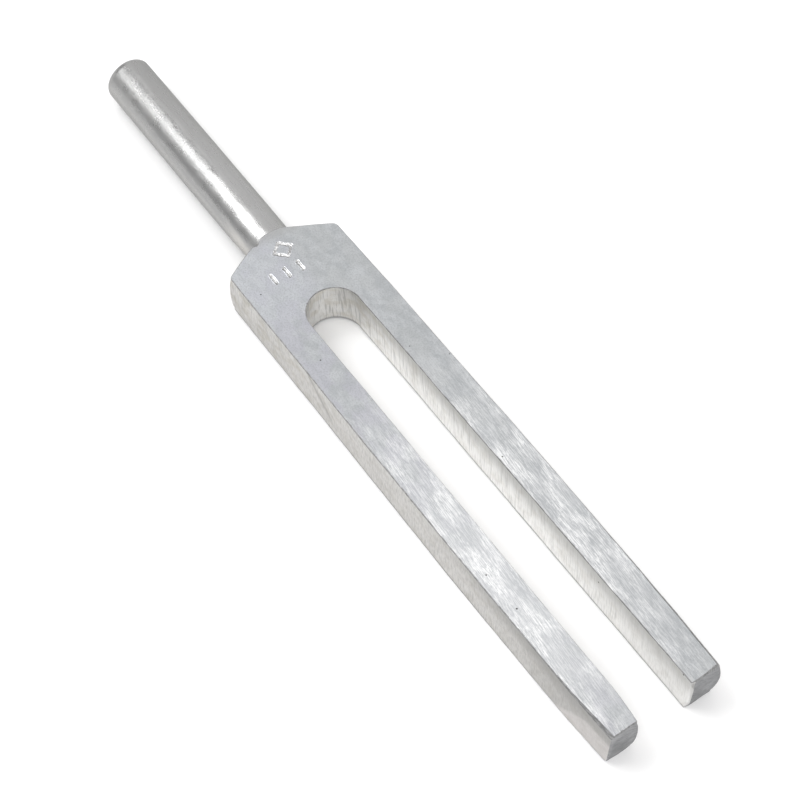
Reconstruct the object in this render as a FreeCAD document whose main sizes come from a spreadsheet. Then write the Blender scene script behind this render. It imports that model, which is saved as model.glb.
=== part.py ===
"""Tuning fork: a flat two-tined aluminium head with a turned round stem pressed into its yoke.

The yoke's shoulders are turned about the stem's axis, so they are one cone, and the bar's two
broad faces cut it along a rounded nose.

The fork lies flat. +X runs along it from the stem's foot to the tine tips, +Y across it, +Z up.
The origin is under the middle of the fork, on the surface that the stem rests on. Millimetres.
"""
import FreeCAD, Part
import math
import os

import Sketcher

DRIVING_DIMENSIONS = {
    "overall_length": 177.0,
    # Head: the yoke and its two tines, cut from one flat bar.
    "bar_width": 24.0,
    "bar_thickness": 9.2,
    "head_length": 118.8,        # tine tips to the seat that the stem butts against
    "shoulder_angle": 58.2,      # degrees between the turned shoulder and the fork's axis
    "slot_width": 10.9,
    "slot_depth": 101.3,         # tine tips to the crown of the slot
    "taper_length": 47.0,        # the tines' outer sides start to close in this far from the tips
    "draw_length": 12.0,         # and are filed in further from here
    "drawn_width": 23.4,         # over both tines where the filing starts
    "tip_width": 22.5,           # over both tines at the tips
    "tip_corner_radius": 0.6,
    "edge_radius": 0.35,
    # Stem: one turned rod.
    "stem_diameter": 10.0,
    "neck_diameter": 9.2,        # flush with the bar's two broad faces
    "neck_length": 9.0,
    "foot_crown_radius": 14.0,
    "foot_edge_radius": 2.8,
    # Press fit that holds the stem in the yoke.
    "spigot_diameter": 6.0,
    "spigot_length": 11.6,
    "spigot_lead": 0.6,
    "bore_depth": 12.0,
    # Plain punch marks on the yoke's upper face.
    "mark_depth": 0.2,
    "mark_width": 0.55,
    "diamond_radius": 2.3,       # middle to corner
    "diamond_inset": 5.1,        # seat to the middle of the diamond
    "bars_inset": 10.2,          # seat to the middle of the row of bars
    "bars_offset": 2.3,          # the row's middle is this far to the -Y side
    "bars_pitch": 3.0,
    "bar_mark_length": 2.8,
}
MARK_BARS = 3

doc = FreeCAD.newDocument("tuning_fork")


# ---- driving dimensions ----

sheet = doc.addObject("Spreadsheet::Sheet", "dims")
for row, (alias, value) in enumerate(DRIVING_DIMENSIONS.items(), start=1):
    sheet.set(f"A{row}", alias)
    sheet.set(f"B{row}", str(value))
    sheet.setAlias(f"B{row}", alias)
doc.recompute()


def dim(alias):
    """A driving dimension, read back from the sheet."""
    return float(getattr(sheet, alias))


STEM_LENGTH = "dims.overall_length - dims.head_length"
seat_x = dim("overall_length") - dim("head_length")


# ---- helpers for bodies and sketches ----

def new_body(name):
    """An empty body. Its local X axis is the fork's axis, starting at the stem's foot."""
    body = doc.addObject("PartDesign::Body", name)
    body.Label = name
    body.setExpression("Placement.Base.x", "-dims.overall_length / 2")
    body.setExpression("Placement.Base.z", "dims.stem_diameter / 2")
    return body


def new_sketch(body, name, plane, offset=None):
    """A sketch on one of the body's own origin planes, moved along the normal by an expression."""
    sketch = body.newObject("Sketcher::SketchObject", name)
    support = [item for item in body.Origin.OriginFeatures if item.Role == plane][0]
    sketch.AttachmentSupport = [(support, "")]
    sketch.MapMode = "FlatFace"
    if offset:
        sketch.setExpression("AttachmentOffset.Base.z", offset)
    return sketch


def bind(sketch, constraint, expression):
    """Add a dimensional constraint and drive it from the sheet."""
    index = sketch.addConstraint(constraint)
    sketch.setExpression(f"Constraints[{index}]", expression)


def place(sketch, edge, end, point, expressions):
    """Fix one end of an edge at a point, with an expression for each of its coordinates."""
    for axis, value, expression in zip(("DistanceX", "DistanceY"), point, expressions):
        bind(sketch, Sketcher.Constraint(axis, -1, 1, edge, end, value), expression)


def closed_polygon(sketch, corners):
    """Straight edges through the corners, joined end to end; edge i starts at corner i."""
    points = [FreeCAD.Vector(x, y, 0) for x, y in corners]
    edges = []
    for start, end in zip(points, points[1:] + points[:1]):
        edges.append(sketch.addGeometry(Part.LineSegment(start, end), False))
    for edge, following in zip(edges, edges[1:] + edges[:1]):
        sketch.addConstraint(Sketcher.Constraint("Coincident", edge, 2, following, 1))
    return edges


def feature(body, kind, name, sketch):
    """Add a sketch-based feature to a body."""
    item = body.newObject(kind, name)
    item.Profile = sketch
    return item


def cut_volume(body, pocket):
    """Recompute, and make sure that a cut really took material away."""
    before = pocket.BaseFeature.Shape.Volume
    doc.recompute()
    removed = before - body.Shape.Volume
    if removed <= 0:
        raise RuntimeError(f"{pocket.Name} cuts nothing")
    return removed


# ---- fork_body: yoke and tines ----

def half_outline():
    """The bar's outline on the +Y side, from tine tip back to its rear end: value, expression."""
    along = ["", "draw_length", "taper_length", "head_length"]
    across = ["tip_width", "drawn_width", "bar_width", "bar_width"]
    outline = []
    for less, width in zip(along, across):
        x = dim("overall_length") - (dim(less) if less else 0.0)
        x_expression = "dims.overall_length" + (f" - dims.{less}" if less else "")
        outline.append(((x, dim(width) / 2), (x_expression, f"dims.{width} / 2")))
    return outline


def add_head_blank(body):
    """The bar with its closing sides, before the shoulders are turned and the slot is cut."""
    upper = half_outline()
    corners = [point for point, _ in upper]
    mirrored = [(x, -y) for x, y in reversed(corners)]
    sketch = new_sketch(body, "head_outline", "XY_Plane")
    edges = closed_polygon(sketch, corners + mirrored)
    for edge, (point, expressions) in zip(edges, upper):
        place(sketch, edge, 1, point, expressions)
    for index in range(len(upper)):
        opposite = edges[-1 - index]
        sketch.addConstraint(Sketcher.Constraint("Symmetric", edges[index], 1, opposite, 1, -1))
    blank = feature(body, "PartDesign::Pad", "head_blank", sketch)
    blank.SideType = "Symmetric"
    blank.setExpression("Length", "dims.bar_thickness")
    doc.recompute()


def add_turned_shoulders(body):
    """Turn the bar's rear end to a cone that starts at the neck's own radius."""
    neck = dim("neck_diameter") / 2
    reach = dim("bar_width")
    behind = seat_x - dim("bar_thickness")
    rise = (reach - neck) / math.tan(math.radians(dim("shoulder_angle")))
    corners = [(behind, neck), (seat_x, neck), (seat_x + rise, reach), (behind, reach)]
    sketch = new_sketch(body, "shoulder_section", "XY_Plane")
    below, slope, outside, rear = closed_polygon(sketch, corners)
    sketch.addConstraint(Sketcher.Constraint("Horizontal", below))
    sketch.addConstraint(Sketcher.Constraint("Horizontal", outside))
    sketch.addConstraint(Sketcher.Constraint("Vertical", rear))
    place(sketch, slope, 1, corners[1], (STEM_LENGTH, "dims.neck_diameter / 2"))
    rear_top = (f"{STEM_LENGTH} - dims.bar_thickness", "dims.bar_width")
    place(sketch, rear, 1, corners[3], rear_top)
    angle = Sketcher.Constraint("Angle", slope, math.radians(dim("shoulder_angle")))
    bind(sketch, angle, "dims.shoulder_angle * 1 deg")
    shoulders = feature(body, "PartDesign::Groove", "turned_shoulders", sketch)
    shoulders.ReferenceAxis = (sketch, ["H_Axis"])
    shoulders.Angle = 360
    cut_volume(body, shoulders)


def add_slot(body):
    """The gap between the tines: parallel sides, a half-round crown, open past the tips."""
    radius = dim("slot_width") / 2
    centre_x = dim("overall_length") - dim("slot_depth") + radius
    mouth_x = dim("overall_length") + radius
    sketch = new_sketch(body, "slot_outline", "XY_Plane")
    circle = Part.Circle(FreeCAD.Vector(centre_x, 0, 0), FreeCAD.Vector(0, 0, 1), radius)
    crown = sketch.addGeometry(Part.ArcOfCircle(circle, math.pi / 2, 3 * math.pi / 2), False)
    corners = [(centre_x, -radius), (mouth_x, -radius), (mouth_x, radius), (centre_x, radius)]
    points = [FreeCAD.Vector(x, y, 0) for x, y in corners]
    sides = []
    for start, end in zip(points, points[1:]):
        sides.append(sketch.addGeometry(Part.LineSegment(start, end), False))
    lower, mouth, upper = sides
    sketch.addConstraint(Sketcher.Constraint("Tangent", crown, 2, lower, 1))
    sketch.addConstraint(Sketcher.Constraint("Tangent", upper, 2, crown, 1))
    sketch.addConstraint(Sketcher.Constraint("Coincident", lower, 2, mouth, 1))
    sketch.addConstraint(Sketcher.Constraint("Coincident", mouth, 2, upper, 1))
    sketch.addConstraint(Sketcher.Constraint("Horizontal", lower))
    sketch.addConstraint(Sketcher.Constraint("Horizontal", upper))
    sketch.addConstraint(Sketcher.Constraint("Vertical", mouth))
    centre = ("dims.overall_length - dims.slot_depth + dims.slot_width / 2", "0")
    bind(sketch, Sketcher.Constraint("DistanceX", -1, 1, crown, 3, centre_x), centre[0])
    sketch.addConstraint(Sketcher.Constraint("PointOnObject", crown, 3, -1))
    bind(sketch, Sketcher.Constraint("Radius", crown, radius), "dims.slot_width / 2")
    mouth_expression = "dims.overall_length + dims.slot_width / 2"
    bind(sketch, Sketcher.Constraint("DistanceX", -1, 1, mouth, 1, mouth_x), mouth_expression)
    slot = feature(body, "PartDesign::Pocket", "slot", sketch)
    slot.SideType = "Symmetric"
    slot.setExpression("Length", "dims.bar_thickness * 2")
    cut_volume(body, slot)


def edge_names(shape, wanted):
    """The names of the edges for which wanted(edge) is true."""
    return [f"Edge{number}" for number, edge in enumerate(shape.Edges, start=1) if wanted(edge)]


def is_tip_corner(edge):
    """A vertical edge at the end of a tine."""
    box = edge.BoundBox
    at_tip = box.XMin > dim("overall_length") - 0.01
    return at_tip and box.YLength < 0.01 and box.ZLength > dim("bar_thickness") / 2


def is_long_edge(edge):
    """An edge of a broad face along the sides, the slot or the tips, but not along the cone."""
    box = edge.BoundBox
    in_broad_face = box.ZLength < 0.01 and abs(abs(box.Center.z) - dim("bar_thickness") / 2) < 0.01
    return in_broad_face and not isinstance(edge.Curve, Part.Hyperbola)


def add_rounding(body, name, radius, wanted):
    """Round the chosen edges of the body as it stands."""
    base = body.Tip
    rounding = body.newObject("PartDesign::Fillet", name)
    rounding.Base = (base, edge_names(base.Shape, wanted))
    rounding.setExpression("Radius", radius)
    doc.recompute()


def add_stem_bore(body):
    """The blind bore in the yoke's end that the stem's spigot is pressed into."""
    sketch = new_sketch(body, "bore_outline", "YZ_Plane", STEM_LENGTH)
    radius = dim("spigot_diameter") / 2
    circle = Part.Circle(FreeCAD.Vector(0, 0, 0), FreeCAD.Vector(0, 0, 1), radius)
    edge = sketch.addGeometry(circle, False)
    sketch.addConstraint(Sketcher.Constraint("Coincident", edge, 3, -1, 1))
    bind(sketch, Sketcher.Constraint("Radius", edge, radius), "dims.spigot_diameter / 2")
    bore = feature(body, "PartDesign::Pocket", "stem_bore", sketch)
    bore.setExpression("Length", "dims.bore_depth")
    bore.Reversed = True
    cut_volume(body, bore)


def add_diamond(sketch, radius, radius_expression):
    """A square standing on its corner, centred on the fork's axis near the seat."""
    middle = seat_x + dim("diamond_inset")
    middle_expression = f"{STEM_LENGTH} + dims.diamond_inset"
    corners = [(middle + radius, 0), (middle, radius), (middle - radius, 0), (middle, -radius)]
    edges = closed_polygon(sketch, corners)
    right, top, left, bottom = edges
    right_expression = f"{middle_expression} + {radius_expression}"
    left_expression = f"{middle_expression} - ({radius_expression})"
    bind(sketch, Sketcher.Constraint("DistanceX", -1, 1, right, 1, corners[0][0]), right_expression)
    bind(sketch, Sketcher.Constraint("DistanceX", -1, 1, left, 1, corners[2][0]), left_expression)
    sketch.addConstraint(Sketcher.Constraint("PointOnObject", right, 1, -1))
    sketch.addConstraint(Sketcher.Constraint("PointOnObject", left, 1, -1))
    place(sketch, top, 1, corners[1], (middle_expression, radius_expression))
    sketch.addConstraint(Sketcher.Constraint("Symmetric", top, 1, bottom, 1, -1))


def add_bar_mark(sketch, order):
    """One short bar of the row, long along the fork. Bars are counted from the row's middle."""
    middle = seat_x + dim("bars_inset")
    length = dim("bar_mark_length")
    width = dim("mark_width")
    across = order * dim("bars_pitch") - dim("bars_offset")
    x_low, x_high = middle - length / 2, middle + length / 2
    y_low, y_high = across - width / 2, across + width / 2
    corners = [(x_low, y_low), (x_high, y_low), (x_high, y_high), (x_low, y_high)]
    edges = closed_polygon(sketch, corners)
    for edge in (edges[0], edges[2]):
        sketch.addConstraint(Sketcher.Constraint("Horizontal", edge))
    for edge in (edges[1], edges[3]):
        sketch.addConstraint(Sketcher.Constraint("Vertical", edge))
    middle_expression = f"{STEM_LENGTH} + dims.bars_inset"
    across_expression = f"{order} * dims.bars_pitch - dims.bars_offset"
    low = (
        f"{middle_expression} - dims.bar_mark_length / 2",
        f"{across_expression} - dims.mark_width / 2",
    )
    high = (
        f"{middle_expression} + dims.bar_mark_length / 2",
        f"{across_expression} + dims.mark_width / 2",
    )
    place(sketch, edges[0], 1, corners[0], low)
    place(sketch, edges[2], 1, corners[2], high)


def add_punch_marks(body):
    """Shallow plain marks in the upper face: an open diamond and a row of short bars."""
    sketch = new_sketch(body, "punch_outlines", "XY_Plane", "dims.bar_thickness / 2")
    inner_radius = dim("diamond_radius") - dim("mark_width") * math.sqrt(2)
    add_diamond(sketch, dim("diamond_radius"), "dims.diamond_radius")
    add_diamond(sketch, inner_radius, "(dims.diamond_radius - dims.mark_width * sqrt(2))")
    for order in range(MARK_BARS):
        add_bar_mark(sketch, order - MARK_BARS // 2)
    marks = feature(body, "PartDesign::Pocket", "punch_marks", sketch)
    marks.setExpression("Length", "dims.mark_depth")
    cut_volume(body, marks)


def build_fork_body():
    """The head: yoke and both tines in one piece, as the metal has to ring as one."""
    body = new_body("fork_body")
    add_head_blank(body)
    add_turned_shoulders(body)
    add_slot(body)
    add_rounding(body, "tip_corner_rounding", "dims.tip_corner_radius", is_tip_corner)
    add_rounding(body, "edge_rounding", "dims.edge_radius", is_long_edge)
    add_stem_bore(body)
    add_punch_marks(body)
    return body


# ---- stem: turned rod with a domed foot, a neck and a spigot ----

def foot_arcs(radius, crown, edge):
    """The foot's shallow crown and the rounding that runs from it into the rod's side."""
    edge_centre_x = crown - math.sqrt((crown - edge) ** 2 - (radius - edge) ** 2)
    edge_centre = FreeCAD.Vector(edge_centre_x, radius - edge, 0)
    crown_centre = FreeCAD.Vector(crown, 0, 0)
    outward = (edge_centre - crown_centre).normalize()
    meeting = crown_centre + outward * crown
    tilt = math.atan2(outward.y, outward.x)
    up = FreeCAD.Vector(0, 0, 1)
    crown_arc = Part.ArcOfCircle(Part.Circle(crown_centre, up, crown), tilt, math.pi)
    edge_arc = Part.ArcOfCircle(Part.Circle(edge_centre, up, edge), math.pi / 2, tilt)
    return crown_arc, edge_arc, meeting, edge_centre_x


def add_stem_profile(body):
    """Half of the stem's long section, to be turned about the fork's axis."""
    radius = dim("stem_diameter") / 2
    neck = dim("neck_diameter") / 2
    spigot = dim("spigot_diameter") / 2
    lead = dim("spigot_lead")
    end_x = seat_x + dim("spigot_length")
    arcs = foot_arcs(radius, dim("foot_crown_radius"), dim("foot_edge_radius"))
    crown_arc, edge_arc, _, side_start = arcs
    sketch = new_sketch(body, "stem_profile", "XY_Plane")
    crown_edge = sketch.addGeometry(crown_arc, False)
    rounded_edge = sketch.addGeometry(edge_arc, False)
    corners = [
        (side_start, radius),
        (seat_x - dim("neck_length"), radius),
        (seat_x, neck),
        (seat_x, spigot),
        (end_x - lead, spigot),
        (end_x, spigot - lead),
        (end_x, 0),
        (0, 0),
    ]
    points = [FreeCAD.Vector(x, y, 0) for x, y in corners]
    lines = []
    for start, end in zip(points, points[1:]):
        lines.append(sketch.addGeometry(Part.LineSegment(start, end), False))
    for line, following in zip(lines, lines[1:]):
        sketch.addConstraint(Sketcher.Constraint("Coincident", line, 2, following, 1))
    side, neck_line, seat, spigot_side, lead_line, end_face, axis_line = lines

    sketch.addConstraint(Sketcher.Constraint("Tangent", rounded_edge, 1, side, 1))
    sketch.addConstraint(Sketcher.Constraint("Tangent", rounded_edge, 2, crown_edge, 1))
    sketch.addConstraint(Sketcher.Constraint("Coincident", crown_edge, 2, axis_line, 2))
    sketch.addConstraint(Sketcher.Constraint("Coincident", crown_edge, 2, -1, 1))
    sketch.addConstraint(Sketcher.Constraint("PointOnObject", crown_edge, 3, -1))
    for line in (side, spigot_side, axis_line):
        sketch.addConstraint(Sketcher.Constraint("Horizontal", line))
    for line in (seat, end_face):
        sketch.addConstraint(Sketcher.Constraint("Vertical", line))

    crown_radius = Sketcher.Constraint("Radius", crown_edge, dim("foot_crown_radius"))
    edge_radius = Sketcher.Constraint("Radius", rounded_edge, dim("foot_edge_radius"))
    bind(sketch, crown_radius, "dims.foot_crown_radius")
    bind(sketch, edge_radius, "dims.foot_edge_radius")
    neck_start = (f"{STEM_LENGTH} - dims.neck_length", "dims.stem_diameter / 2")
    place(sketch, neck_line, 1, corners[1], neck_start)
    place(sketch, seat, 1, corners[2], (STEM_LENGTH, "dims.neck_diameter / 2"))
    end_expression = f"{STEM_LENGTH} + dims.spigot_length"
    spigot_end = (f"{end_expression} - dims.spigot_lead", "dims.spigot_diameter / 2")
    place(sketch, lead_line, 1, corners[4], spigot_end)
    lead_end = (end_expression, "dims.spigot_diameter / 2 - dims.spigot_lead")
    place(sketch, end_face, 1, corners[5], lead_end)
    return sketch


def build_stem():
    """The rod that is held and set down on a soundboard."""
    body = new_body("stem")
    sketch = add_stem_profile(body)
    turned = feature(body, "PartDesign::Revolution", "turned_stem", sketch)
    turned.ReferenceAxis = (sketch, ["H_Axis"])
    turned.Angle = 360
    doc.recompute()
    return body


# ---- build, check and write ----

def check_document(bodies):
    """Stop if any object failed, or if a piece is empty, broken or not one solid."""
    for item in doc.Objects:
        if "Invalid" in item.State or "Error" in item.State:
            raise RuntimeError(f"{item.Name} failed: {item.State}")
    for sketch in doc.findObjects("Sketcher::SketchObject"):
        if not sketch.FullyConstrained:
            raise RuntimeError(f"{sketch.Name} is not fully constrained")
    for body in bodies:
        if body.Shape.isNull() or not body.Shape.isValid() or len(body.Shape.Solids) != 1:
            raise RuntimeError(f"{body.Label} is not one valid solid")


def write_parts(bodies):
    """Write one STEP file per piece, named after its label."""
    os.makedirs("parts", exist_ok=True)
    for body in bodies:
        body.Shape.exportStep(f"parts/{body.Label}.step")
        box = body.Shape.optimalBoundingBox()
        print(f"{body.Label}: {body.Shape.Volume / 1000:.2f} cm3, "
              f"x {box.XMin:.2f} to {box.XMax:.2f}, y {box.YMin:.2f} to {box.YMax:.2f}, "
              f"z {box.ZMin:.2f} to {box.ZMax:.2f}")


pieces = [build_fork_body(), build_stem()]
doc.recompute()
check_document(pieces)
write_parts(pieces)
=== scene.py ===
"""Looks of the tuning fork: worn, hand-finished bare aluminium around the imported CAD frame.

The frame is +X from the stem's foot to the tine tips, +Y across the tines and +Z up, with its
origin on the surface that the fork lies on. Blender works in metres. The surfaces are worked out in
millimetres about the fork's own axis and are scaled once, when they become Blender meshes.
"""
import math

import bmesh
import bpy
import numpy as np
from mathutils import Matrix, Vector, noise


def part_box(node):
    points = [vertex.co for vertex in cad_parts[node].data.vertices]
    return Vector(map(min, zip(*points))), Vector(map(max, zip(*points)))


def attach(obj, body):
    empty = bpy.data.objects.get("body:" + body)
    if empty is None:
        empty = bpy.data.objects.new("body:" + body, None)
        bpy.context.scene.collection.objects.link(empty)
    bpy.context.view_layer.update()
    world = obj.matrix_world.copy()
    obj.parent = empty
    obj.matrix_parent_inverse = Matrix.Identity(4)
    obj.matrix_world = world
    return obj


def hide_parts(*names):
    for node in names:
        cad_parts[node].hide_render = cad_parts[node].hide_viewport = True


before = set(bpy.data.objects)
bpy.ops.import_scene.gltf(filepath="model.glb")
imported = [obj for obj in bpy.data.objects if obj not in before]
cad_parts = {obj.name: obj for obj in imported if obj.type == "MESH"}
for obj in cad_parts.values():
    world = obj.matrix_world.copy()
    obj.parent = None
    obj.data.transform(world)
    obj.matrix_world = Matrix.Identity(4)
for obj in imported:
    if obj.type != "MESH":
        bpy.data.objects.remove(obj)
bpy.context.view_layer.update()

MM = 0.001

# ---- sizes in millimetres: from the frame, then the CAD's driving dimensions ----

HEAD_LOW, HEAD_HIGH = (np.array(corner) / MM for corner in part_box("fork_body"))
STEM_LOW, STEM_HIGH = (np.array(corner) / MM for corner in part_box("stem"))
AXIS_HEIGHT = (HEAD_LOW[2] + HEAD_HIGH[2]) / 2
HALF_THICKNESS = (HEAD_HIGH[2] - HEAD_LOW[2]) / 2
HALF_WIDTH = (HEAD_HIGH[1] - HEAD_LOW[1]) / 2
SEAT_X = HEAD_LOW[0]
TIP_X = HEAD_HIGH[0]
FOOT_X = STEM_LOW[0]
STEM_RADIUS = (STEM_HIGH[2] - STEM_LOW[2]) / 2

SLOT_RADIUS = 5.45
SLOT_DEPTH = 101.3
SLOT_CENTRE_X = TIP_X - SLOT_DEPTH + SLOT_RADIUS
SHOULDER_SLOPE = 1 / math.tan(math.radians(58.2))
TAPER_LENGTH = 47.0
DRAW_LENGTH = 12.0
DRAWN_HALF_WIDTH = 11.7
RIGHT_TIP_HALF_WIDTH = 11.3
LEFT_TIP_HALF_WIDTH = 11.1
FOOT_RADIUS = 4.98
FOOT_CROWN_RADIUS = 14.0
FOOT_EDGE_RADIUS = 2.8
DIAMOND_X = SEAT_X + 5.1
DIAMOND_RADIUS = 2.3
BARS_X = SEAT_X + 10.2
BARS_OFFSET = -2.3
BARS_PITCH = 3.0
BAR_LENGTH = 2.8
MARK_WIDTH = 0.55
MARK_DEPTH = 0.24
MARKED_X = (SEAT_X + 2.2, SEAT_X + 12.4)
MARKED_Y = (-7.2, 3.2)
BEVEL_START_X = 58.0
EDGE_BREAK = 0.16

# The head's finishes, in the order of its material slots.
TOP, UNDERSIDE, SIDE, SLOT, TIP, SHADED_EDGE, STRUCK = range(7)


# ---- small tools ----

def smooth_step(value, low, high):
    """0 at low and before, 1 at high and beyond, and a smooth rise between."""
    t = np.clip((np.asarray(value, float) - low) / (high - low), 0.0, 1.0)
    return t * t * (3 - 2 * t)


def wave_noise(points, wavelength, seed):
    """Smooth noise from about -1 to 1 at each point, with features about a wavelength apart."""
    shift = Vector((seed * 17.3, seed * 5.1, seed * 9.7))
    return np.array([noise.noise(Vector(p) / wavelength + shift) for p in points])


def wobble(distance, seed):
    """A slow unevenness along a hand-filed edge, in millimetres."""
    slow = np.sin(distance / 5.3 + seed * 2.1)
    return 0.02 * slow + 0.012 * np.sin(distance / 1.9 + seed * 4.7)


def finish_piece(name, bm, materials, cad_node):
    """Make a bmesh, in millimetres about the fork's axis, into the piece for a CAD node."""
    bmesh.ops.recalc_face_normals(bm, faces=bm.faces)
    for vertex in bm.verts:
        vertex.co = (vertex.co + Vector((0, 0, AXIS_HEIGHT))) * MM
    for face in bm.faces:
        face.smooth = True
    mesh = bpy.data.meshes.new(name)
    bm.to_mesh(mesh)
    bm.free()
    for material in materials:
        mesh.materials.append(material)
    piece = bpy.data.objects.new(name, mesh)
    bpy.context.scene.collection.objects.link(piece)
    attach(piece, "root")
    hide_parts(cad_node)
    return piece


# ---- the head's outline ----

EDGE_HEIGHT = HALF_THICKNESS - EDGE_BREAK


def barrel(z):
    """1 at mid-thickness and 0 at the edges: a hand-dressed wall stands proudest in its middle."""
    return np.clip(1 - (np.asarray(z, float) / EDGE_HEIGHT) ** 2, 0, 1)


def outer_half_width(x, right, z):
    """Half the head's width, on the +Y side where right is true. Both tines are filed by hand."""
    taper = [TIP_X - TAPER_LENGTH, TIP_X - DRAW_LENGTH]
    drawn = np.interp(x, taper, [HALF_WIDTH, DRAWN_HALF_WIDTH])
    drawing = np.clip((x - TIP_X + DRAW_LENGTH) / DRAW_LENGTH, 0, 1)
    tip = np.where(right, RIGHT_TIP_HALF_WIDTH, LEFT_TIP_HALF_WIDTH)
    filed_shoulder = np.clip((-4.0 - x) / 21.0, 0, 1) ** 1.3 * np.where(right, 0.15, 0.0)
    at_tip = np.where(right, 0.75, 0.05) * smooth_step(x, TIP_X - 30, TIP_X)
    at_shoulder = np.where(right, 0.1, 0.4) * smooth_step(-x, 12, 22)
    flare = np.where(right, 0.0, 0.25) * smooth_step(-z, 1.0, 4.4) * smooth_step(x, 0, 60)
    uneven = wobble(x, np.where(right, 1.0, 2.0)) + np.where(right, 0.12, 0.02)
    dressed = drawn + drawing * (tip - DRAWN_HALF_WIDTH) - filed_shoulder
    return dressed + (at_tip + at_shoulder) * barrel(z) + flare + uneven


def slot_half_width(x, right, z):
    """Half the slot's width: opened a little at the left tip's edges, narrower low on the right."""
    opened_length = 8.5
    opened = np.clip((x - TIP_X + opened_length) / opened_length, 0, 1) ** 2
    opened = opened * np.where(right, 0.0, 0.5)
    flare = np.where(right, 0.12, 0.0) * smooth_step(-z, 1.0, 4.4) * smooth_step(x, 0, 50)
    return SLOT_RADIUS + opened * (1 - barrel(z)) - flare + wobble(x, np.where(right, 3.0, 4.0))


def shoulder_x(y, z):
    """Where the shoulders lie: a cone turned about the fork's axis, with a nick beside the stem."""
    radius = np.maximum(np.hypot(y, z), HALF_THICKNESS)
    nick = 0.75 * np.exp(-((y + 3.5) / 0.9) ** 2) * smooth_step(z, 2.0, 3.6)
    dressed = 0.15 * smooth_step(-y, 2.0, 6.0) + 0.3 * smooth_step(y, 2.0, 6.0)
    return SEAT_X + SHOULDER_SLOPE * (radius - HALF_THICKNESS) + nick + dressed


def corner_inset(first, second, radius):
    """The inset from two edges that meet in a rounded corner."""
    rounded = radius - np.hypot(radius - first, radius - second)
    return np.where((first < radius) & (second < radius), rounded, np.minimum(first, second))


def inset(x, y, z):
    """How far inside the head's outline a point is at this height; negative means outside."""
    right = y > 0
    across = np.abs(y)
    from_side = outer_half_width(x, right, z) - across
    slope = SHOULDER_SLOPE * across / np.maximum(np.hypot(y, z), HALF_THICKNESS)
    from_shoulder = (x - shoulder_x(y, z)) / np.hypot(1, slope)
    beside_slot = across - slot_half_width(x, right, z)
    around_crown = np.hypot(x - SLOT_CENTRE_X, y) - SLOT_RADIUS
    from_slot = np.where(x > SLOT_CENTRE_X, beside_slot, around_crown)
    from_tip = TIP_X + np.where(y > 0, 0.5, 0.35) * barrel(z) + 0.03 * np.sin(y * 1.9) - x
    return np.minimum.reduce([
        corner_inset(from_side, from_shoulder, 0.6),
        corner_inset(from_side, from_tip, np.where(right, 0.75, 0.35)),
        corner_inset(from_slot, from_tip, 0.25),
    ])


def outline_distance(start, direction, z, inside, outside):
    """How far along each ray the outline lies, between a distance in the metal and one outside."""
    inside = np.broadcast_to(np.asarray(inside, float), start.shape[:1])
    outside = np.broadcast_to(np.asarray(outside, float), start.shape[:1])
    for _ in range(30):
        middle = (inside + outside) / 2
        point = start + direction * middle[:, None]
        within = inset(point[:, 0], point[:, 1], z) > 0
        inside = np.where(within, middle, inside)
        outside = np.where(within, outside, middle)
    return (inside + outside) / 2


# ---- the head's edges, filed corners and punched marks ----

def edge_radius(x, y):
    """How much of the edge is broken, which varies along it."""
    towards_tip = smooth_step(x, TIP_X - 45, TIP_X)
    right_tip = towards_tip * smooth_step(y, SLOT_RADIUS + 2, HALF_WIDTH - 1.5)
    uneven = 0.025 * np.sin(x / 2.7 + y) + 0.02 * np.sin(x / 0.9 + 2 * y)
    return EDGE_BREAK + 0.38 * right_tip + uneven


def outer_chamfer(x, right):
    """Width and drop of the bevel filed on the left tine's outer edge towards its tip."""
    grown = np.clip((x - BEVEL_START_X) / (TIP_X - BEVEL_START_X), 0, 1) ** 2
    grown = np.where(right, 0.0, grown)
    return 0.5 * grown, 0.9 * grown


def bevel_drop(distance, width, drop):
    """Fall of a flat bevel, this far inside the outline."""
    width = np.maximum(width, 1e-6)
    return drop * np.clip(1 - distance / width, 0, 1)


def round_drop(distance, radius):
    """Fall of a rounded edge, this far inside the outline."""
    remaining = np.clip(radius - distance, 0, radius)
    return radius - np.sqrt(radius ** 2 - remaining ** 2)


def distance_to_segment(x, y, start, end):
    """Distance from each point to a straight stroke."""
    start, end = np.array(start), np.array(end)
    along = end - start
    t = np.clip(((x - start[0]) * along[0] + (y - start[1]) * along[1]) / along.dot(along), 0, 1)
    return np.hypot(x - start[0] - t * along[0], y - start[1] - t * along[1])


def mark_strokes():
    """The strokes of the open diamond and of the row of three bars."""
    reach = DIAMOND_RADIUS - MARK_WIDTH / math.sqrt(2)
    corners = [
        (DIAMOND_X + reach, 0), (DIAMOND_X, reach), (DIAMOND_X - reach, 0), (DIAMOND_X, -reach)]
    strokes = list(zip(corners, corners[1:] + corners[:1]))
    half_bar = (BAR_LENGTH - MARK_WIDTH) / 2
    for order in (-1, 0, 1):
        y = BARS_OFFSET + order * BARS_PITCH
        strokes.append(((BARS_X - half_bar, y), (BARS_X + half_bar, y)))
    return strokes


def mark_distance(x, y):
    """Distance to the nearest stroke, with the unevenness of a punch struck by hand."""
    distance = np.min([distance_to_segment(x, y, a, b) for a, b in mark_strokes()], axis=0)
    return distance + 0.05 * np.sin(x * 3.1 + y * 1.7)


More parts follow.
